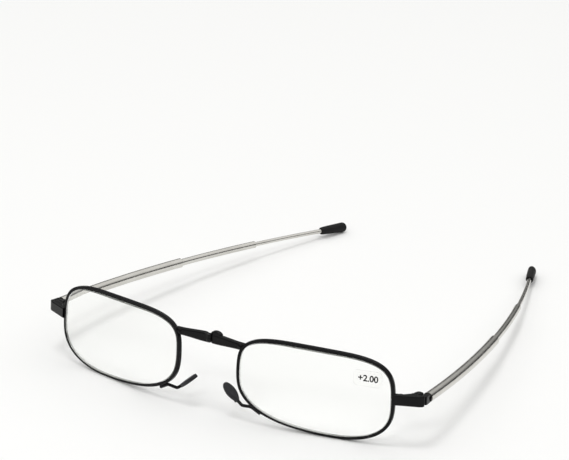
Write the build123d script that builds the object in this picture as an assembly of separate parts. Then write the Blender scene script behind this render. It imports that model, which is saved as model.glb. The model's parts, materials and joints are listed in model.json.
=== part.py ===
# Folding reading glasses: wire rims that fold together at the bridge, and
# curved telescoping arms. Millimetres. The right half (+X) is described and
# the left one mirrored. Everything is drawn with the fronts upright, and
# stand() then leans it back until it rests on the rims and the arm tips.
from build123d import *
from math import atan2, cos, degrees, hypot, pi, radians, sin
import os

# rims and lenses
rim_centre_x = 33.5          # from the mid-plane to each lens centre
wrap = 10.3                  # degrees each rim turns back at its outer side
half_width, half_height = 23.6, 12.6     # of the rim wire's centre line
squareness_top, squareness_bottom = 3.8, 2.6
outer_taller, outer_drop, top_bow, lean_in = 0.04, -0.05, -0.04, -0.01
outline_points = 40
wire_half = 0.5              # half the wire's width, seen from the front
rim_depth = 1.25
wire_round = 0.22
groove_depth, groove_half = 0.3, 0.32
lens_gap = 0.06
lens_curve = 250.0           # front radius: +2.00 dioptres with a flat back
lens_thick, lens_back = 2.2, 0.5

# bridge and its hinge
hinge_y = -4.45              # the pin stands just in front of the two bars
knuckle_r, knuckle_clear = 0.8, 0.15
knuckle_low, knuckle_mid, knuckle_top = 8.1, 9.0, 9.95
bar_y, bar_depth = -3.45, 1.7
bar_end_z, bar_end_h = 8.4, 2.35
bar_mid_z, bar_mid_h = 8.7, 3.0
hump_x, hump_z, hump_w, hump_h = 1.95, 10.0, 1.85, 1.2      # raised end of the right bar
bar_end_x, butt_gap = 12.4, 0.08
pin_r, pin_head_r, pin_head_h = 0.4, 0.65, 0.3
rivet_r, rivet_h = 0.6, 0.2
slot_w = 0.3                 # screwdriver slots
running = 0.04               # radial clearance of every turning pin

# nose pads
pad_root, pad_tip = (9.7, -3.05, -8.5), (5.0, -2.9, -4.4)
pad_half_width, pad_thick = 1.65, 1.1
pad_splay = 0.28             # how far each pad's back edge turns away from the nose
pad_wire_r = 0.48
pad_wire_tail, pad_wire_leave = 232, 221       # degrees round the rim
pad_wire_bend = (11.2, -3.1, -9.6)
pad_point_r, pad_edge_r = 0.9, 0.35

# endpieces and arm hinges
arm_z = 1.3
end_half_h = 1.65
end_corner_r, end_back_r, end_edge_r = 2.5, 0.6, 0.45
end_back_y = 8.1
pin_x, pin_y = 61.9, 9.5
cant = 2.5                   # degrees the hinge axis leans, so a folded arm drops
ear_r, ear_in, ear_out = 1.3, 0.6, 1.3
ear_tail = 2.4
hinge_pin_r = 0.5
screw_head_r, screw_head_h = 0.85, 0.3
block_clear = 0.15

# arms: every tube lies on one arc
arm_start = (64.0, 8.5)
toe_in = 3.0                 # degrees
arc_r = 350.0
outer_end, middle_end, tip_start, tip_end = 57.0, 89.0, 116.5, 126.5
outer_r, outer_bore = 1.5, 1.25
middle_r, middle_bore = 1.1, 0.85
rod_r = 0.7
rod_in_tip = 5.5
cheek_outer, cheek_half_h = 65.1, 1.2
tube_start, plug_length = 2.75, 3.6
slide_gap = 0.03             # radial clearance of the sliding fits
mouth = 1.5                  # length of each tube's narrowed mouth
collar = 5.5                 # length of each friction collar
tip_root_r, tip_half_h, tip_half_w = 1.05, 1.7, 1.4
tip_cut = 28                 # degrees the tip's end face slants

# label
label_u, label_v = 16.0, 6.3
label_w, label_h, label_thick = 8.4, 4.6, 0.08

# rim lock, behind the endpiece
lock_z, lock_h, lock_gap = 1.1, 1.05, 0.16
lock_x, lock_y, lock_w, lock_d = 58.3, 5.9, 2.1, 2.4
lock_screw_r, lock_head_r, lock_head_h = 0.35, 0.65, 0.35

rim_plane = Plane(origin=(rim_centre_x, 0, 0),
                  x_dir=(cos(radians(wrap)), sin(radians(wrap)), 0),
                  z_dir=(sin(radians(wrap)), -cos(radians(wrap)), 0))
middle_start = outer_end - mouth - 0.1 - collar
inner_start = middle_end - mouth - 0.1 - collar
rod_end = tip_start + rod_in_tip
arc_centre = (arm_start[0] - arc_r * cos(radians(toe_in)),
              arm_start[1] - arc_r * sin(radians(toe_in)))


def outline_point(turn):
    """Point of the rim's centre line: a rounded rectangle, squarer on top."""
    c, s = cos(turn), sin(turn)
    power = 2 / (squareness_top if s > 0 else squareness_bottom)
    u = abs(c) ** power * (1 if c > 0 else -1)
    v = abs(s) ** power * (1 if s > 0 else -1)
    return (half_width * (u + lean_in * v),
            half_height * (v * (1 + outer_taller * u) + outer_drop * u + top_bow * (1 - u * u)))


def offset_point(turn, out):
    """The same point moved outwards, square to the outline."""
    x0, y0 = outline_point(turn - 0.01)
    x1, y1 = outline_point(turn + 0.01)
    length = hypot(x1 - x0, y1 - y0)
    x, y = outline_point(turn)
    return (x + out * (y1 - y0) / length, y - out * (x1 - x0) / length)


def outline(out, height=0.0):
    """Closed face inside the outline, offset outwards and lifted."""
    points = [offset_point(2 * pi * (i + 0.5) / outline_points, out)
              for i in range(outline_points)]
    edge = Spline(*points, periodic=True)
    return Pos(0, 0, height) * make_face(Wire([edge]))


def ridge(out, half, rise):
    """Ring-shaped bevel: widest in the middle of its thickness."""
    faces = [outline(out, -half), outline(out + rise, 0), outline(out, half)]
    return loft(faces, ruled=True)


def in_glasses(local):
    return rim_plane.location * local


def make_rim():
    blank = extrude(outline(wire_half, -rim_depth / 2), rim_depth)
    hole = extrude(outline(-wire_half, -rim_depth), 2 * rim_depth)
    ring = fillet((blank - hole).edges(), wire_round)
    ring -= ridge(-wire_half, groove_half, groove_depth)
    split = Pos(half_width, lock_z, 0) * Box(4, lock_gap, 2 * rim_depth)
    return in_glasses(ring - split)


def lens_sphere(extra=0.0):
    front = lens_thick - lens_back
    return Pos(0, 0, front - lens_curve) * Rot(90, 0, 0) * Sphere(lens_curve + extra)


def make_lens():
    core = extrude(outline(-wire_half - lens_gap, -lens_back), lens_thick)
    body = core + ridge(-wire_half - lens_gap, groove_half - 0.05, groove_depth)
    return in_glasses(body & lens_sphere())


def make_label():
    shape = extrude(Pos(label_u, label_v, 0) * RectangleRounded(label_w, label_h, 1.2), 3)
    shell = lens_sphere(0.02 + label_thick) - lens_sphere(0.02)
    return in_glasses(shape & shell)


def make_rim_outer():
    """Rim filled in, to trim what is soldered to its outside."""
    reach = 4
    return in_glasses(extrude(outline(wire_half, -reach), 2 * reach))


def bar_section(x, z, depth, height):
    plane = Plane(origin=(x, bar_y, z), x_dir=(0, 1, 0), z_dir=(1, 0, 0))
    return plane * RectangleRounded(depth, height, 0.55)


def cylinder_between(x, y, low, high, radius):
    return Pos(x, y, (low + high) / 2) * Cylinder(radius, high - low)


def make_bar():
    """Right bar, from the rim to the mid-plane, with no knuckle yet."""
    stations = [(butt_gap, bar_mid_z, bar_mid_h), (2.4, bar_mid_z - 0.05, bar_mid_h),
                (7.0, (bar_mid_z + bar_end_z) / 2, bar_end_h + 0.1),
                (bar_end_x, bar_end_z, bar_end_h)]
    return loft([bar_section(x, z, bar_depth, h) for x, z, h in stations])


def make_bridge_halves():
    bar = make_bar() - make_rim_outer()
    split = knuckle_mid
    room = knuckle_r + knuckle_clear
    upper = cylinder_between(0, hinge_y, split + 0.05, knuckle_top, knuckle_r)
    lower = cylinder_between(0, hinge_y, knuckle_low, split - 0.05, knuckle_r)
    hump = extrude(Plane.XZ.offset(-bar_y - bar_depth / 2 + 0.1) * Pos(hump_x, hump_z)
                   * Ellipse(hump_w, hump_h), bar_depth - 0.2)
    hump = fillet(hump.edges(), 0.4)
    right = bar + hump - cylinder_between(0, hinge_y, 7, split + 0.05, room) + upper
    right -= cylinder_between(0, hinge_y, 7, 11, pin_r + running)
    right -= cylinder_between(0, hinge_y, knuckle_top, 12, pin_head_r + 0.15)
    notch = Polyline((-2.4, 10.6), (0.2, 10.6), (0.2, 9.35), (-0.5, 9.4), (-2.4, 10.25),
                     close=True)
    notch = extrude(Plane.XZ * make_face(notch), 4, both=True)
    notch = Pos(0, bar_y, 0) * notch
    left = mirror(bar, about=Plane.YZ) - notch
    left -= cylinder_between(0, hinge_y, split - 0.05, 12, room)
    left = left + lower - cylinder_between(0, hinge_y, 7, 11, pin_r)
    return left, right


def make_bridge_pin():
    shaft = cylinder_between(0, hinge_y, knuckle_low - rivet_h, knuckle_top + 0.1, pin_r)
    low, high = knuckle_top + 0.05, knuckle_top + 0.05 + pin_head_h
    head = cylinder_between(0, hinge_y, low, high, pin_head_r)
    head = fillet(head.edges().group_by(Axis.Z)[-1], 0.12)
    head -= Pos(0, hinge_y, high) * Box(3, slot_w, 0.25)
    rivet = cylinder_between(0, hinge_y, knuckle_low - rivet_h, knuckle_low, rivet_r)
    rivet = chamfer(rivet.edges().group_by(Axis.Z)[0], 0.12)
    return shaft + head + rivet


def rim_side_point(turn, out):
    """Point beside the rim wire, in the glasses' own coordinates."""
    u, v = offset_point(turn, out)
    point = rim_plane.from_local_coords(Vector(u, v, -0.3))
    return (point.X, point.Y, point.Z)


def make_pad_arm():
    beside = wire_half + pad_wire_r - 0.05
    tail = rim_side_point(radians(pad_wire_tail), beside)
    leave = rim_side_point(radians(pad_wire_leave), beside)
    path = FilletPolyline(tail, leave, pad_wire_bend, pad_root, radius=1.0)
    start = Plane(origin=path @ 0, z_dir=path % 0)
    wire = sweep(start * Circle(pad_wire_r), path=path)
    return wire - make_rim_outer()


def pad_frame():
    along = Vector(*pad_tip) - Vector(*pad_root)
    middle = (Vector(*pad_tip) + Vector(*pad_root)) * 0.5
    across = Vector(pad_splay, 1, 0)
    return Plane(origin=middle, x_dir=along, z_dir=along.cross(across)), along.length


def make_nose_pad():
    frame, length = pad_frame()
    half = length / 2 + 0.2
    bulge = (half ** 2 + pad_half_width ** 2) / 2 / pad_half_width
    leaf = RadiusArc((-half, 0), (half, 0), bulge) + RadiusArc((half, 0), (-half, 0), bulge)
    face = make_face(leaf)
    face = fillet(face.vertices(), pad_point_r)
    pad = extrude(Pos(0, 0, -pad_thick / 2) * face, pad_thick)
    pad = fillet(pad.edges(), pad_edge_r)
    return frame.location * pad


def hinge_frame():
    return Pos(pin_x, pin_y, arm_z) * Rot(0, -cant, 0)


def knuckle_plate(low, high, reach_x, reach_y):
    """Round eye at the hinge pin with a tail that reaches a neighbour."""
    tail = Pos(reach_x / 2, reach_y / 2) * Rot(0, 0, degrees(atan2(reach_y, reach_x))) \
        * Rectangle(hypot(reach_x, reach_y), 2 * ear_r)
    return extrude(Pos(0, 0, low) * (Circle(ear_r) + tail), high - low)


def make_endpiece():
    plan = Polyline((56.6, 2.8), (64.2, 6.5), (65.5, end_back_y), (60.4, end_back_y),
                    (60.4, 7.3), (59.0, 5.6), (56.6, 4.6), close=True)
    block = make_face(plan)
    block = fillet(block.vertices().group_by(Axis.X)[-2], end_corner_r)
    block = fillet(block.vertices().group_by(Axis.X)[-1], end_back_r)
    body = extrude(Pos(0, 0, arm_z - end_half_h) * block, 2 * end_half_h)
    body = fillet(body.edges().filter_by(Plane.XY), end_edge_r)
    hinge = hinge_frame()
    for low, high in ((ear_in, ear_out), (-ear_out, -ear_in)):
        body += hinge * knuckle_plate(low, high, 0, -ear_tail)
    body -= hinge * Cylinder(hinge_pin_r, 8)
    return body - make_rim_outer()


def make_hinge_screw():
    shaft = Cylinder(hinge_pin_r, 2 * ear_out)
    head = Pos(0, 0, ear_out + screw_head_h / 2) * Cylinder(screw_head_r, screw_head_h)
    head = fillet(head.edges().group_by(Axis.Z)[-1], 0.15)
    slot = Pos(0, 0, ear_out + screw_head_h) * Box(3, slot_w, 0.3)
    return hinge_frame() * (shaft + head - slot)


def arm_location(distance):
    """Place on the arm's centre line, with Z along the arm and X outwards."""
    turn = toe_in + degrees(distance / arc_r)
    x = arc_centre[0] + arc_r * cos(radians(turn))
    y = arc_centre[1] + arc_r * sin(radians(turn))
    return Plane(origin=(x, y, arm_z), x_dir=(cos(radians(turn)), sin(radians(turn)), 0),
                 z_dir=(-sin(radians(turn)), cos(radians(turn)), 0)).location


def arc_bar(start, end, radius):
    """Solid round bar that follows the arm's arc."""
    face = arm_location(start) * Circle(radius)
    axis = Axis((arc_centre[0], arc_centre[1], arm_z), (0, 0, 1))
    return revolve(face, axis, degrees((end - start) / arc_r))


def make_tube(start, end, radius, bore, mouth_r):
    tube = arc_bar(start, end, radius) - arc_bar(start - 1, end - mouth, bore)
    return tube - arc_bar(end - mouth - 1, end + 1, mouth_r)


def make_hinge_block():
    plug = arc_bar(tube_start - 0.4, tube_start + plug_length, outer_bore)
    inner, front, back = pin_x + ear_r + block_clear, end_back_y + block_clear, 11.1
    cheek = Polyline((inner, front), (cheek_outer, front), (cheek_outer - 0.3, back),
                     (inner, back), close=True)
    cheek = extrude(Pos(0, 0, arm_z - cheek_half_h) * make_face(cheek), 2 * cheek_half_h)
    cheek = fillet(cheek.edges().filter_by(Axis.Z), 0.35)
    eye = knuckle_plate(-ear_in + 0.1, ear_in - 0.1, 2.2, 0)
    block = plug + cheek + hinge_frame() * eye
    return block - hinge_frame() * Cylinder(hinge_pin_r + running, 8)


def make_arm_tip():
    sizes = [(tip_start, tip_root_r, tip_root_r), (tip_start + 3, 1.35, 1.25),
             (tip_end, tip_half_w, tip_half_h)]
    tip = loft([arm_location(s) * Ellipse(w, h) for s, w, h in sizes])
    cut = arm_location(tip_end) * Rot(0, -tip_cut, 0) * Pos(0, 0, 3) * Box(12, 12, 6)
    return tip - cut - arc_bar(tip_start - 1, rod_end, rod_r)


def make_rim_lock(endpiece):
    """Two lugs behind the endpiece, one on each side of the rim's split."""
    lock = Pos(lock_x, lock_y, lock_z) * Box(lock_w, lock_d, 2 * lock_h)
    lock = fillet(lock.edges().filter_by(Axis.Z), 0.3)
    lock -= Pos(lock_x, lock_y, lock_z) * Box(4, 4, lock_gap)
    lock -= cylinder_between(lock_x + 0.2, lock_y + 0.3, -9, 9, lock_screw_r)
    return lock - make_rim_outer() - endpiece


def make_rim_screw():
    x, y = lock_x + 0.2, lock_y + 0.3
    low, high = lock_z - lock_h, lock_z + lock_h
    head = cylinder_between(x, y, low - lock_head_h, low, lock_head_r)
    head -= Pos(x, y, low - lock_head_h) * Box(2, 0.22, 0.3)
    return cylinder_between(x, y, low, high, lock_screw_r) + head


def make_side():
    """Every piece of the right side that has a mirrored twin."""
    endpiece = make_endpiece()
    tip = make_arm_tip()
    return {
        "rim": make_rim(),
        "lens": make_lens(),
        "rim_lock": make_rim_lock(endpiece),
        "rim_screw": make_rim_screw(),
        "pad_arm": make_pad_arm(),
        "nose_pad": make_nose_pad(),
        "endpiece": endpiece,
        "hinge_screw": make_hinge_screw(),
        "hinge_block": make_hinge_block(),
        "outer_tube": make_tube(tube_start, outer_end, outer_r, outer_bore, middle_r + slide_gap),
        "middle_collar": (arc_bar(middle_start, middle_start + collar, outer_bore - slide_gap)
                          - arc_bar(middle_start - 1, middle_end, middle_r)),
        "middle_tube": make_tube(middle_start, middle_end, middle_r, middle_bore,
                                 rod_r + slide_gap),
        "inner_collar": (arc_bar(inner_start, inner_start + collar, middle_bore - slide_gap)
                         - arc_bar(inner_start - 1, middle_end, rod_r)),
        "inner_rod": arc_bar(inner_start, rod_end, rod_r),
        "arm_tip": tip,
    }


def stand(parts):
    """Lean the glasses back onto the arm tips and set the lowest point at zero."""
    rim_low = min((rim_plane.from_local_coords(Vector(*offset_point(radians(t), wire_half)))
                   for t in range(180, 360)), key=lambda p: p.Z)
    tip_low = arm_location(tip_end - 0.5).position
    drop = (arm_z - tip_half_h) - rim_low.Z
    lean = degrees(atan2(drop, tip_low.Y - rim_low.Y))
    leaned = {name: Rot(-lean, 0, 0) * part for name, part in parts.items()}
    boxes = [part.bounding_box() for part in leaned.values()]
    floor = min(box.min.Z for box in boxes)
    middle_y = (min(box.min.Y for box in boxes) + max(box.max.Y for box in boxes)) / 2
    shift = Pos(0, -middle_y, -floor)
    print("lean", round(lean, 3), "shift", shift.position)
    return {name: shift * part for name, part in leaned.items()}


def main():
    side = make_side()
    left_bar, right_bar = make_bridge_halves()
    parts = {"left_bridge_half": left_bar, "right_bridge_half": right_bar,
             "bridge_pin": make_bridge_pin(), "power_label": make_label()}
    for name, part in side.items():
        parts["right_" + name] = part
        parts["left_" + name] = mirror(part, about=Plane.YZ)
    os.makedirs("parts", exist_ok=True)
    for name, part in stand(parts).items():
        export_step(part, f"parts/{name}.step")


main()
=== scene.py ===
import bpy, json, math
import numpy as np
from mathutils import Matrix, Vector


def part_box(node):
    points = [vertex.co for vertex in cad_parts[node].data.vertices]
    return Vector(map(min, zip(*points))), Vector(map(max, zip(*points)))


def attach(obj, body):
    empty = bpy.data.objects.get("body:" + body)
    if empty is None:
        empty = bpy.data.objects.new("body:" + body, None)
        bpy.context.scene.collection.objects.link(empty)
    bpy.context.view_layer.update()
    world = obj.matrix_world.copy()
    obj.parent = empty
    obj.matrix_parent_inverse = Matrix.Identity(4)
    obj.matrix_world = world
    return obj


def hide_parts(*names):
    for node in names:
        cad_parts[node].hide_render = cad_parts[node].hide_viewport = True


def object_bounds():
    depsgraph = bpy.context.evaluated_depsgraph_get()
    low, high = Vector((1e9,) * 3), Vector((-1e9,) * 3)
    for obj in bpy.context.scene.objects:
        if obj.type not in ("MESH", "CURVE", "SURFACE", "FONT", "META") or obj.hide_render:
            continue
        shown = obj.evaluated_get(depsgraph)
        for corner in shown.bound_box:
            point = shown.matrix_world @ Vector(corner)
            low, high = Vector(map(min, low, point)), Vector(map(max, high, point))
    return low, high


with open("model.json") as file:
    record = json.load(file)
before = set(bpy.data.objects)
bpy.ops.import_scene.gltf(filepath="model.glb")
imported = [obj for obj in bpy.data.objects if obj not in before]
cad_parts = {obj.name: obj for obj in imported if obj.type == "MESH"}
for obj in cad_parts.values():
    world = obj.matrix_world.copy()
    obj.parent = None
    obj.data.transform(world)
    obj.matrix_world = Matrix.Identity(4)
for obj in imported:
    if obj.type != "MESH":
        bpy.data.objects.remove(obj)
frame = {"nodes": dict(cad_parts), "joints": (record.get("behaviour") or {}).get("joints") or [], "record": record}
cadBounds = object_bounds()
record = frame["record"]
nodes = frame["nodes"]
joints = {joint["name"]: joint for joint in frame["joints"]}
bpy.ops.object.select_all(action="DESELECT")
mm = 0.001
sides = {"left": -1, "right": 1}
print("frame loaded,", len(nodes), "nodes")


# camera: angles in degrees, distance and aim in metres, lens in millimetres
view = {"azimuth": 32.27, "elevation": 22.91, "roll": -0.59, "distance": 0.891,
        "aimFromCentre": (-0.01510, -0.00127, 0.01656), "lens": 183.9}


def makeCamera():
    centre = (cadBounds[0] + cadBounds[1]) / 2
    aim = centre + Vector(view["aimFromCentre"])
    turn, rise = math.radians(view["azimuth"]), math.radians(view["elevation"])
    back = Vector((math.sin(turn) * math.cos(rise), -math.cos(turn) * math.cos(rise), math.sin(rise)))
    bpy.ops.object.camera_add(location=aim + back * view["distance"])
    camera = bpy.context.object
    camera.name = "camera"
    turned = (-back).to_track_quat("-Z", "Y").to_matrix().to_4x4()
    camera.rotation_euler = (turned @ Matrix.Rotation(math.radians(view["roll"]), 4, "Z")).to_euler()
    camera.data.lens = view["lens"]
    camera.data.sensor_width = 36
    camera.data.clip_start, camera.data.clip_end = 0.05, 20
    bpy.context.scene.camera = camera


makeCamera()


# node helpers
def newGroup(name, inputs, outputs):
    group = bpy.data.node_groups.new(name, "ShaderNodeTree")
    for label, kind, value in inputs:
        socket = group.interface.new_socket(label, in_out="INPUT", socket_type=kind)
        if value is not None:
            socket.default_value = value
    for label, kind in outputs:
        group.interface.new_socket(label, in_out="OUTPUT", socket_type=kind)
    return group, group.nodes.new("NodeGroupInput"), group.nodes.new("NodeGroupOutput")


def addNode(tree, kind, links=(), **values):
    node = tree.nodes.new(kind)
    for key, value in values.items():
        setattr(node, key, value)
    for socket, source in links:
        if hasattr(source, "is_linked"):
            tree.links.new(source, node.inputs[socket])
        else:
            node.inputs[socket].default_value = source
    return node


# fine even speckle: lacquer orange peel, moulded rubber
def makeSpeckle():
    group, entry, leave = newGroup(
        "speckle",
        [("Vector", "NodeSocketVector", None), ("Scale", "NodeSocketFloat", 1500.0),
         ("Low", "NodeSocketFloat", 0.2), ("High", "NodeSocketFloat", 0.3)],
        [("Value", "NodeSocketFloat"), ("Height", "NodeSocketFloat")])
    noise = addNode(group, "ShaderNodeTexNoise", [("Vector", entry.outputs["Vector"]),
                    ("Scale", entry.outputs["Scale"]), ("Detail", 3.0)])
    ramp = addNode(group, "ShaderNodeMapRange", [("Value", noise.outputs["Fac"]), ("From Min", 0.3),
                   ("From Max", 0.7), ("To Min", entry.outputs["Low"]), ("To Max", entry.outputs["High"])])
    group.links.new(ramp.outputs["Result"], leave.inputs["Value"])
    group.links.new(noise.outputs["Fac"], leave.inputs["Height"])
    return group


# large soft patches: handling marks, uneven polish
def makePatches():
    group, entry, leave = newGroup(
        "patches",
        [("Vector", "NodeSocketVector", None), ("Scale", "NodeSocketFloat", 90.0),
         ("Cover", "NodeSocketFloat", 0.55)],
        [("Mask", "NodeSocketFloat")])
    noise = addNode(group, "ShaderNodeTexNoise", [("Vector", entry.outputs["Vector"]),
                    ("Scale", entry.outputs["Scale"]), ("Detail", 5.0), ("Roughness", 0.6)])
    ramp = addNode(group, "ShaderNodeMapRange", [("Value", noise.outputs["Fac"]),
                   ("From Min", entry.outputs["Cover"]), ("From Max", 0.8)])
    group.links.new(ramp.outputs["Result"], leave.inputs["Mask"])
    return group


# drawn lines that run along the arms
def makeDrawLines():
    group, entry, leave = newGroup(
        "drawLines",
        [("Vector", "NodeSocketVector", None), ("Low", "NodeSocketFloat", 0.12),
         ("High", "NodeSocketFloat", 0.26)],
        [("Value", "NodeSocketFloat"), ("Height", "NodeSocketFloat")])
    stretch = addNode(group, "ShaderNodeMapping", [("Vector", entry.outputs["Vector"]),
                      ("Scale", (4200.0, 60.0, 4200.0))])
    noise = addNode(group, "ShaderNodeTexNoise", [("Vector", stretch.outputs["Vector"]),
                    ("Scale", 1.0), ("Detail", 2.0)])
    ramp = addNode(group, "ShaderNodeMapRange", [("Value", noise.outputs["Fac"]), ("From Min", 0.3),
                   ("From Max", 0.7), ("To Min", entry.outputs["Low"]), ("To Max", entry.outputs["High"])])
    group.links.new(ramp.outputs["Result"], leave.inputs["Value"])
    group.links.new(noise.outputs["Fac"], leave.inputs["Height"])
    return group


speckleGroup = makeSpeckle()
patchGroup = makePatches()
drawGroup = makeDrawLines()


def useGroup(tree, group, **values):
    node = tree.nodes.new("ShaderNodeGroup")
    node.node_tree = group
    for key, value in values.items():
        if hasattr(value, "is_linked"):
            tree.links.new(value, node.inputs[key])
        else:
            node.inputs[key].default_value = value
    return node


def newMaterial(name, **fixed):
    material = bpy.data.materials.new(name)
    material.use_nodes = True
    tree = material.node_tree
    shader = tree.nodes["Principled BSDF"]
    for key, value in fixed.items():
        shader.inputs[key.replace("_", " ")].default_value = value
    coords = tree.nodes.new("ShaderNodeTexCoord").outputs["Object"]
    return material, tree, shader, coords


def mixColours(tree, mask, first, second):
    mix = addNode(tree, "ShaderNodeMix", data_type="RGBA")
    tree.links.new(mask, mix.inputs["Factor"])
    mix.inputs[6].default_value = (*first, 1)
    mix.inputs[7].default_value = (*second, 1)
    return mix.outputs[2]


def addBump(tree, shader, height, strength, distance):
    bump = addNode(tree, "ShaderNodeBump", [("Strength", strength), ("Distance", distance),
                   ("Height", height)])
    tree.links.new(bump.outputs["Normal"], shader.inputs["Normal"])


# opaque finishes: two colours mixed by soft patches, and a grain that sets roughness and relief
# relief is a bump's strength and distance in metres
enamel = {"name": "blackEnamel", "colours": ((0.004, 0.004, 0.0045), (0.009, 0.009, 0.0095)),
          "grain": 2600.0, "roughness": (0.12, 0.24), "patches": 140.0, "cover": 0.5,
          "relief": (0.08, 0.00002), "shader": {"Specular_IOR_Level": 0.14}}
screwBlack = {"name": "blackenedSteel", "colours": ((0.03, 0.03, 0.032), (0.16, 0.155, 0.15)),
              "grain": 5200.0, "roughness": (0.24, 0.42), "patches": 900.0, "cover": 0.5,
              "shader": {"Metallic": 0.8}}
steel = {"name": "drawnSteel", "colours": ((0.66, 0.645, 0.61), (0.56, 0.545, 0.51)),
         "roughness": (0.13, 0.27), "patches": 120.0, "cover": 0.42, "relief": (0.15, 0.00002),
         "shader": {"Metallic": 1.0}}
brass = {"name": "plainBrass", "colours": ((0.72, 0.52, 0.22), (0.42, 0.28, 0.12)),
         "grain": 3000.0, "roughness": (0.25, 0.4), "patches": 500.0, "cover": 0.45,
         "shader": {"Metallic": 1.0}}
rubber = {"name": "mattRubber", "colours": ((0.006, 0.006, 0.006), (0.014, 0.0135, 0.013)),
          "grain": 3400.0, "roughness": (0.55, 0.72), "patches": 260.0, "cover": 0.5,
          "relief": (0.35, 0.00005), "shader": {"Specular_IOR_Level": 0.25}}
silicone = {"name": "charcoalSilicone", "colours": ((0.012, 0.012, 0.015), (0.024, 0.024, 0.028)),
            "grain": 2400.0, "roughness": (0.34, 0.48), "patches": 420.0, "cover": 0.45,
            "relief": (0.2, 0.00004), "shader": {"Specular_IOR_Level": 0.3}}
groundLens = {"name": "groundLensEdge", "colours": ((0.62, 0.63, 0.60), (0.42, 0.43, 0.41)),
              "grain": 3000.0, "roughness": (0.5, 0.75), "patches": 200.0, "cover": 0.4,
              "shader": {"Alpha": 0.42, "Specular_IOR_Level": 0.3}}
printInk = {"name": "printInk", "colours": ((0.012, 0.012, 0.012), (0.05, 0.05, 0.05)),
            "grain": 4000.0, "roughness": (0.4, 0.6), "patches": 1500.0, "cover": 0.6, "shader": {}}


# a finish without a grain scale gets the drawn lines instead of the speckle
def makeFinish(finish):
    material, tree, shader, coords = newMaterial(finish["name"], **finish["shader"])
    low, high = finish["roughness"]
    if "grain" in finish:
        grain = useGroup(tree, speckleGroup, Vector=coords, Scale=finish["grain"], Low=low, High=high)
    else:
        grain = useGroup(tree, drawGroup, Vector=coords, Low=low, High=high)
    patches = useGroup(tree, patchGroup, Vector=coords, Scale=finish["patches"], Cover=finish["cover"])
    colour = mixColours(tree, patches.outputs["Mask"], *finish["colours"])
    tree.links.new(colour, shader.inputs["Base Color"])
    tree.links.new(grain.outputs["Value"], shader.inputs["Roughness"])
    if "relief" in finish:
        addBump(tree, shader, grain.outputs["Height"], *finish["relief"])
    return material


# clear pieces pass light to the table instead of a hard shadow
def letLightThrough(tree, shader, strength):
    clear = addNode(tree, "ShaderNodeBsdfTransparent", [("Color", (strength, strength, strength, 1))])
    path = addNode(tree, "ShaderNodeLightPath")
    mix = addNode(tree, "ShaderNodeMixShader", [("Fac", path.outputs["Is Shadow Ray"])])
    tree.links.new(shader.outputs["BSDF"], mix.inputs[1])
    tree.links.new(clear.outputs["BSDF"], mix.inputs[2])
    tree.links.new(mix.outputs["Shader"], tree.nodes["Material Output"].inputs["Surface"])


# clear finishes: smear is a speckle's scale and its lowest and highest roughness
lensGlass = {"name": "clearLens", "tint": (0.99, 0.995, 0.985), "IOR": 1.5,
             "smear": (60.0, 0.0, 0.012), "shadowLight": 0.95}
film = {"name": "labelFilm", "tint": (0.985, 0.985, 0.98), "IOR": 1.35,
        "smear": (350.0, 0.02, 0.08), "shadowLight": 0.96}


def makeClear(finish):
    material, tree, shader, coords = newMaterial(finish["name"], Transmission_Weight=1.0,
                                                 IOR=finish["IOR"])
    scale, low, high = finish["smear"]
    smear = useGroup(tree, speckleGroup, Vector=coords, Scale=scale, Low=low, High=high)
    shader.inputs["Base Color"].default_value = (*finish["tint"], 1)
    tree.links.new(smear.outputs["Value"], shader.inputs["Roughness"])
    letLightThrough(tree, shader, finish["shadowLight"])
    return material


finishes = {"black_enamel": makeFinish(enamel), "lens": makeClear(lensGlass),
            "screws": makeFinish(screwBlack), "nose_pads": makeFinish(silicone),
            "steel_tubes": makeFinish(steel), "collars": makeFinish(brass),
            "arm_tips": makeFinish(rubber), "label_film": makeClear(film)}
ink = makeFinish(printInk)
groundEdge = makeFinish(groundLens)
slotOf = {part["node"]: part["material_slot"] for part in record["subparts"]}
for name, node in nodes.items():
    for materialSlot in node.material_slots:
        materialSlot.material = finishes[slotOf[name]]
print("finishes placed on", len(nodes), "nodes")


# places read from the frame
bodyOf = {node: body for body, members in record["behaviour"]["bodies"].items() for node in members}
upAxis = -Vector(joints["bridge_fold"]["axis"])


def nodePoints(name):
    return np.array([v.co for v in nodes[name].data.vertices], float)


# the arc that one arm's tubes share
class ArmArc:
    def __init__(self, side):
        slide = joints[side + "_middle_slide"]
        self.centre = Vector(slide["pos_m"])
        rod = nodePoints(side + "_inner_rod") - np.array(self.centre)
        flat = rod - np.outer(rod @ np.array(upAxis), upAxis)
        reach = np.linalg.norm(flat, axis=1)
        self.radius = (reach.min() + reach.max()) / 2
        self.across = Vector((sides[side], 0, 0))
        self.along = upAxis.cross(self.across) * sides[side]

    def span(self, name):
        points = nodePoints(name) - np.array(self.centre)
        turn = np.arctan2(points @ np.array(self.along), points @ np.array(self.across))
        return turn.min(), turn.max()

    # X outwards, Z along the arm, Y = Z cross X
    def place(self, turn):
        outward = self.across * math.cos(turn) + self.along * math.sin(turn)
        ahead = self.along * math.cos(turn) - self.across * math.sin(turn)
        sideways = ahead.cross(outward)
        matrix = Matrix((outward, sideways, ahead)).transposed().to_4x4()
        matrix.translation = self.centre + outward * self.radius
        return matrix


arcs = {side: ArmArc(side) for side in sides}


# a finished piece gets its place in its mesh and rides on its node's body
def settle(piece, matrix, node, slotName, replace=True):
    piece.data.transform(piece.matrix_world)
    piece.matrix_world = Matrix.Identity(4)
    piece.data.transform(matrix)
    if matrix.determinant() < 0:
        piece.data.flip_normals()
    piece.data.materials.clear()
    piece.data.materials.append(finishes[slotName])
    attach(piece, bodyOf[node])
    if replace:
        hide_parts(node)


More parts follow.
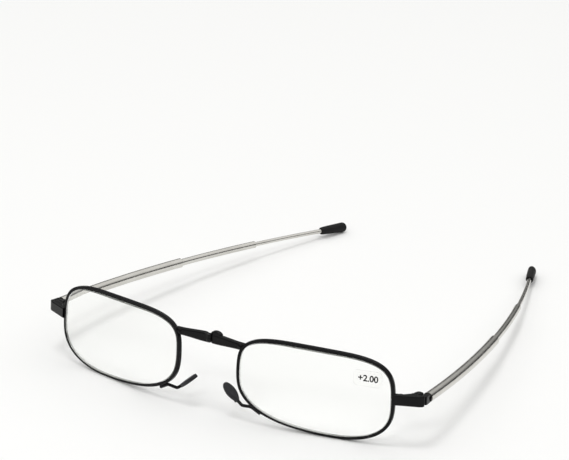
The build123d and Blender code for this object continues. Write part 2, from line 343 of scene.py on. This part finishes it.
def selectOnly(piece):
    bpy.ops.object.select_all(action="DESELECT")
    piece.select_set(True)
    bpy.context.view_layer.objects.active = piece


def smoothed(piece, angle):
    selectOnly(piece)
    bpy.ops.object.shade_smooth_by_angle(angle=math.radians(angle))


def applyAll(piece):
    selectOnly(piece)
    for modifier in list(piece.modifiers):
        bpy.ops.object.modifier_apply(modifier=modifier.name)


def soften(piece, levels):
    subdivision = piece.modifiers.new("soften", "SUBSURF")
    subdivision.levels = subdivision.render_levels = levels
    applyAll(piece)
    smoothed(piece, 60)


# in edit mode: selects just the faces whose centre and normal pass the test
def pickFaces(test):
    bpy.ops.mesh.select_all(action="DESELECT")
    bpy.ops.object.mode_set(mode="OBJECT")
    mesh = bpy.context.object.data
    for face in mesh.polygons:
        face.select = bool(test(face.center, face.normal))
    bpy.ops.object.mode_set(mode="EDIT")


# arm tips, lengths in millimetres: a section is its place along the tip, half height, half width
tipShape = {"sections": ((0.0, 1.12, 1.12), (0.9, 1.28, 1.24), (3.0, 1.42, 1.30),
                         (6.0, 1.55, 1.36), (9.0, 1.66, 1.38), (10.4, 1.62, 1.34)),
            "sides": 24, "cutAngle": 24, "cutBack": 0.35, "endBand": 2.5, "endBevel": 0.45,
            "mouthWall": 0.3, "mouthDepth": 0.5, "endFacing": 0.8}


def makeArmTip(side):
    node = side + "_arm_tip"
    arc = arcs[side]
    start, end = arc.span(node)
    length = (end - start) * arc.radius / mm
    bpy.ops.mesh.primitive_circle_add(vertices=tipShape["sides"], radius=1, fill_type="NGON")
    piece = bpy.context.object
    piece.name = side + "_rubber_tip"
    bpy.ops.object.mode_set(mode="EDIT")
    bpy.ops.mesh.select_all(action="SELECT")
    previous = (0.0, 1.0, 1.0)
    for place, high, wide in tipShape["sections"]:
        if place > 0:
            bpy.ops.mesh.extrude_region_move(TRANSFORM_OT_translate={"value": (0, 0, place - previous[0])})
        bpy.ops.transform.resize(value=(wide / previous[2], high / previous[1], 1),
                                 center_override=(0, 0, place))
        previous = (place, high, wide)
    bpy.ops.mesh.select_all(action="SELECT")
    slope = math.radians(tipShape["cutAngle"])
    bpy.ops.mesh.bisect(plane_co=(0, 0, length - tipShape["cutBack"]),
                        plane_no=(math.sin(slope), 0, math.cos(slope)),
                        use_fill=True, clear_outer=True)
    bpy.ops.mesh.normals_make_consistent(inside=False)
    endStart = length - tipShape["endBand"]
    pickFaces(lambda centre, normal: normal.z > tipShape["endFacing"] and centre.z > endStart)
    bpy.ops.mesh.bevel(offset=tipShape["endBevel"], segments=3, affect="EDGES")
    pickFaces(lambda centre, normal: normal.z < -tipShape["endFacing"])
    bpy.ops.mesh.inset(thickness=tipShape["mouthWall"])
    bpy.ops.transform.translate(value=(0, 0, tipShape["mouthDepth"]))
    bpy.ops.object.mode_set(mode="OBJECT")
    soften(piece, 2)
    settle(piece, arc.place(start) @ Matrix.Scale(mm, 4), node, "arm_tips")


for side in sides:
    makeArmTip(side)
print("arm tips made")


# rolled mouths of the telescoping tubes: ring radius and wire radius in millimetres
# cutDepth and flatten are shares of the wire's radius and height
mouthRings = {"outer_tube": (1.36, 0.15), "middle_tube": (0.98, 0.12)}
mouthShape = {"ringSides": 48, "wireSides": 12, "cutDepth": 0.6, "flatten": 0.8, "wall": 0.03}


def makeMouth(side, tube):
    node = side + "_" + tube
    ring, wire = mouthRings[tube]
    arc = arcs[side]
    end = arc.span(node)[1]
    bpy.ops.mesh.primitive_torus_add(major_radius=ring, minor_radius=wire,
                                     major_segments=mouthShape["ringSides"],
                                     minor_segments=mouthShape["wireSides"])
    piece = bpy.context.object
    piece.name = node + "_mouth"
    bpy.ops.object.mode_set(mode="EDIT")
    bpy.ops.mesh.select_all(action="SELECT")
    bpy.ops.mesh.bisect(plane_co=(0, 0, -mouthShape["cutDepth"] * wire), plane_no=(0, 0, -1),
                        use_fill=False, clear_outer=True)
    bpy.ops.mesh.select_all(action="SELECT")
    bpy.ops.transform.resize(value=(1, 1, mouthShape["flatten"]), center_override=(0, 0, 0))
    bpy.ops.mesh.normals_make_consistent(inside=False)
    bpy.ops.object.mode_set(mode="OBJECT")
    wall = piece.modifiers.new("wall", "SOLIDIFY")
    wall.thickness = mouthShape["wall"]
    applyAll(piece)
    smoothed(piece, 50)
    settle(piece, arc.place(end) @ Matrix.Scale(mm, 4), node, "steel_tubes", replace=False)


for side in sides:
    for tube in mouthRings:
        makeMouth(side, tube)
print("tube mouths made")


# nose pads, lengths in millimetres; stalk, point, flare and floorRise are shares of a size
padShape = {"length": 6.7, "width": 3.3, "thick": 1.1, "sides": 32, "stalk": 0.35, "point": 0.12,
            "backInset": 0.28, "backRise": 0.12, "flare": 1.03, "lip": 0.42, "lipEdge": 0.16,
            "dish": 0.3, "floorInset": 0.62, "floorRise": 0.55}


# X from the pad's root to its tip, Z towards the nose
def padPlace(side):
    mesh = nodes[side + "_nose_pad"].data
    areas = np.array([face.area for face in mesh.polygons])
    centres = np.array([face.center for face in mesh.polygons], float)
    middle = (centres * areas[:, None]).sum(0) / areas.sum()
    spread = ((centres - middle) * areas[:, None]).T @ (centres - middle)
    axes = np.linalg.eigh(spread)[1]
    along, thin = Vector(axes[:, 2]), Vector(axes[:, 0])
    sign = sides[side]
    if along.x * sign > 0:
        along = -along
    if thin.z > 0:
        thin = -thin
    matrix = Matrix((along, thin.cross(along), thin)).transposed().to_4x4()
    matrix.translation = Vector(middle)
    return matrix


def makeNosePad(side):
    node = side + "_nose_pad"
    shape = padShape
    bpy.ops.mesh.primitive_circle_add(vertices=shape["sides"], radius=1, fill_type="NGON",
                                      location=(0, 0, -shape["thick"] / 2))
    piece = bpy.context.object
    piece.name = side + "_pad"
    bpy.ops.object.transform_apply(location=True, rotation=False, scale=False)
    bpy.ops.object.mode_set(mode="EDIT")
    bpy.ops.mesh.select_all(action="SELECT")
    bpy.ops.transform.resize(value=(shape["length"] / 2, shape["width"] / 2, 1), center_override=(0, 0, 0))
    bpy.ops.object.mode_set(mode="OBJECT")
    for vertex in piece.data.vertices:      # pull the root end in, like a leaf's stalk
        along = vertex.co.x / (shape["length"] / 2)
        vertex.co.y *= 1 - shape["stalk"] * max(0, -along) ** 1.5 - shape["point"] * max(0, along) ** 3
    bpy.ops.object.mode_set(mode="EDIT")
    bpy.ops.mesh.select_all(action="SELECT")
    bpy.ops.mesh.inset(thickness=shape["backInset"])
    bpy.ops.transform.translate(value=(0, 0, -shape["backRise"]))
    bpy.ops.mesh.select_all(action="SELECT")
    bpy.ops.mesh.normals_make_consistent(inside=False)
    bpy.ops.mesh.select_all(action="DESELECT")
    bpy.ops.mesh.select_mode(type="EDGE")
    bpy.ops.mesh.select_non_manifold()
    bpy.ops.mesh.extrude_region_move(TRANSFORM_OT_translate={"value": (0, 0, shape["thick"] * 0.5)})
    bpy.ops.transform.resize(value=(shape["flare"], shape["flare"], 1), center_override=(0, 0, 0))
    bpy.ops.mesh.extrude_region_move(TRANSFORM_OT_translate={"value": (0, 0, shape["thick"] * 0.5)})
    bpy.ops.mesh.edge_face_add()
    bpy.ops.mesh.select_mode(type="FACE")
    bpy.ops.mesh.inset(thickness=shape["lip"])
    bpy.ops.mesh.inset(thickness=shape["lipEdge"])
    bpy.ops.transform.translate(value=(0, 0, -shape["dish"]))
    bpy.ops.mesh.inset(thickness=shape["floorInset"])
    bpy.ops.transform.translate(value=(0, 0, shape["dish"] * shape["floorRise"]))
    bpy.ops.mesh.select_all(action="SELECT")
    bpy.ops.mesh.normals_make_consistent(inside=False)
    bpy.ops.object.mode_set(mode="OBJECT")
    soften(piece, 2)
    settle(piece, padPlace(side) @ Matrix.Scale(mm, 4), node, "nose_pads")


for side in sides:
    makeNosePad(side)
print("nose pads made")


# the glasses' upright frame: X across, Y backwards, Z up; bridgePin is the pin's place in it, in mm
bridgePin = {"y": -4.45, "z": 9.0}


def uprightFrame():
    back = upAxis.cross(Vector((1, 0, 0)))
    matrix = Matrix(((1, 0, 0), back, upAxis)).transposed().to_4x4()
    pin = Vector(joints["bridge_fold"]["pos_m"])
    matrix.translation = pin - back * bridgePin["y"] * mm - upAxis * bridgePin["z"] * mm
    return matrix


upright = uprightFrame()

# solder beads where the bridge bars meet the rims, in millimetres of the upright frame
beads = {"x": 10.4, "y": -4.1, "z": 8.5, "size": (0.9, 0.62, 1.0), "segments": 20, "rings": 12,
         "cut": 0.2, "cutFacing": 0.95, "foot": (1.25, 1, 1.1)}


def makeBead(side):
    bpy.ops.mesh.primitive_uv_sphere_add(segments=beads["segments"], ring_count=beads["rings"], radius=1)
    piece = bpy.context.object
    piece.name = side + "_solder_bead"
    bpy.ops.object.mode_set(mode="EDIT")
    bpy.ops.mesh.select_all(action="SELECT")
    bpy.ops.transform.resize(value=beads["size"], center_override=(0, 0, 0))
    bpy.ops.mesh.bisect(plane_co=(0, beads["cut"], 0), plane_no=(0, 1, 0), use_fill=True,
                        clear_outer=True)
    bpy.ops.mesh.normals_make_consistent(inside=False)
    pickFaces(lambda centre, normal: normal.y > beads["cutFacing"])
    bpy.ops.transform.resize(value=beads["foot"], center_override=(0, beads["cut"], 0))
    bpy.ops.object.mode_set(mode="OBJECT")
    soften(piece, 1)
    place = Matrix.Translation(Vector((sides[side] * beads["x"], beads["y"], beads["z"])) * mm)
    settle(piece, upright @ place @ Matrix.Scale(mm, 4), side + "_bridge_half", "black_enamel",
           replace=False)


for side in sides:
    makeBead(side)
print("solder beads made")


# ground edge of each lens, just inside its clear rim
lensEdge = {"slope": 0.5, "shrink": 0.996, "wall": 0.02 * mm, "weld": 0.001 * mm,
            "frontFacing": 0.6}


def makeLensEdge(side):
    node = side + "_lens"
    piece = bpy.data.objects.new(side + "_lens_edge", nodes[node].data.copy())
    bpy.context.collection.objects.link(piece)
    low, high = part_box(node)
    middle = (low + high) / 2
    smoothed(piece, 30)
    bpy.ops.object.mode_set(mode="EDIT")
    bpy.ops.mesh.select_all(action="SELECT")
    bpy.ops.mesh.remove_doubles(threshold=lensEdge["weld"])
    facing = sum((face.normal * face.area for face in piece.data.polygons
                  if face.normal.y < -lensEdge["frontFacing"]), Vector()).normalized()
    pickFaces(lambda centre, normal: abs(normal.dot(facing)) > lensEdge["slope"])
    bpy.ops.mesh.delete(type="FACE")
    bpy.ops.mesh.select_all(action="SELECT")
    bpy.ops.transform.resize(value=(lensEdge["shrink"],) * 3, center_override=middle)
    bpy.ops.mesh.normals_make_consistent(inside=False)
    bpy.ops.object.mode_set(mode="OBJECT")
    wall = piece.modifiers.new("wall", "SOLIDIFY")
    wall.thickness = lensEdge["wall"]
    applyAll(piece)
    settle(piece, Matrix.Identity(4), node, "lens", replace=False)
    piece.data.materials[0] = groundEdge


for side in sides:
    makeLensEdge(side)
print("lens edges made")


# printed lens power, in millimetres: shift is right and up, gap is between the print and the film
printing = {"text": "+2.00", "height": 2.6, "bold": 0.07, "thick": 0.02, "shift": (0.1, 0.0),
            "gap": 0.01, "frontFacing": 0.5}


def makePowerPrint():
    low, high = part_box("power_label")
    ahead = sum((face.normal * face.area for face in nodes["power_label"].data.polygons
                 if face.normal.y < -printing["frontFacing"]), Vector()).normalized()
    bpy.ops.object.text_add()
    piece = bpy.context.object
    piece.name = "power_print"
    piece.data.body = printing["text"]
    piece.data.align_x, piece.data.align_y = "CENTER", "CENTER"
    piece.data.size = printing["height"]
    piece.data.extrude = printing["thick"] / 2
    piece.data.offset = printing["bold"]
    bpy.ops.object.convert(target="MESH")
    right = upAxis.cross(ahead).normalized()
    up = ahead.cross(right)
    matrix = Matrix((right, up, ahead)).transposed().to_4x4()
    surface = (nodePoints("power_label") @ np.array(ahead)).max()
    centre = (low + high) / 2
    matrix.translation = centre + ahead * (surface + printing["gap"] * mm - centre.dot(ahead))
    matrix.translation += (right * printing["shift"][0] + up * printing["shift"][1]) * mm
    settle(piece, matrix @ Matrix.Scale(mm, 4), "power_label", "label_film", replace=False)
    piece.data.materials[0] = ink


makePowerPrint()
print("lens power printed")


# table, light and background
studio = {"floor": (0.93, 0.93, 0.925), "floorSize": 6, "floorPatches": 2.0, "patchCover": 0.3,
          "patchShade": 0.995, "keyPower": 3.6, "keySize": 0.4,
          "keyFrom": (-0.1, -0.16, 1.4),
          "fillPower": 1.9, "fillSize": 0.22, "fillFrom": (0.25, -1.0, 1.0),
          "skyTop": (0.96, 0.96, 0.95), "skyLow": (0.04, 0.04, 0.04), "skyRise": (0.18, 0.55)}


def makeFloor():
    bpy.ops.mesh.primitive_plane_add(size=studio["floorSize"])
    floor = bpy.context.object
    floor.name = "table"
    material, tree, shader, coords = newMaterial("paleTable", Roughness=0.9, Specular_IOR_Level=0.2)
    uneven = useGroup(tree, patchGroup, Vector=coords, Scale=studio["floorPatches"],
                      Cover=studio["patchCover"])
    colour = mixColours(tree, uneven.outputs["Mask"], studio["floor"],
                        tuple(level * studio["patchShade"] for level in studio["floor"]))
    tree.links.new(colour, shader.inputs["Base Color"])
    floor.data.materials.append(material)


def addSoftbox(name, place, size, power):
    bpy.ops.object.light_add(type="AREA", location=place)
    lamp = bpy.context.object
    lamp.name = name
    lamp.data.energy = power
    lamp.data.size = size
    lamp.rotation_euler = (-Vector(place)).to_track_quat("-Z", "Y").to_euler()


def makeSky():
    world = bpy.data.worlds.new("studio")
    bpy.context.scene.world = world
    world.use_nodes = True
    tree = world.node_tree
    coords = tree.nodes.new("ShaderNodeTexCoord").outputs["Generated"]
    split = addNode(tree, "ShaderNodeSeparateXYZ", [("Vector", coords)])
    rise = addNode(tree, "ShaderNodeMapRange", [("Value", split.outputs["Z"]),
                   ("From Min", studio["skyRise"][0]), ("From Max", studio["skyRise"][1])])
    colour = mixColours(tree, rise.outputs["Result"], studio["skyLow"], studio["skyTop"])
    tree.links.new(colour, tree.nodes["Background"].inputs["Color"])


makeFloor()
addSoftbox("key", studio["keyFrom"], studio["keySize"], studio["keyPower"])
addSoftbox("fill", studio["fillFrom"], studio["fillSize"], studio["fillPower"])
makeSky()
bpy.context.scene.view_settings.view_transform = "Standard"
print("studio lit")
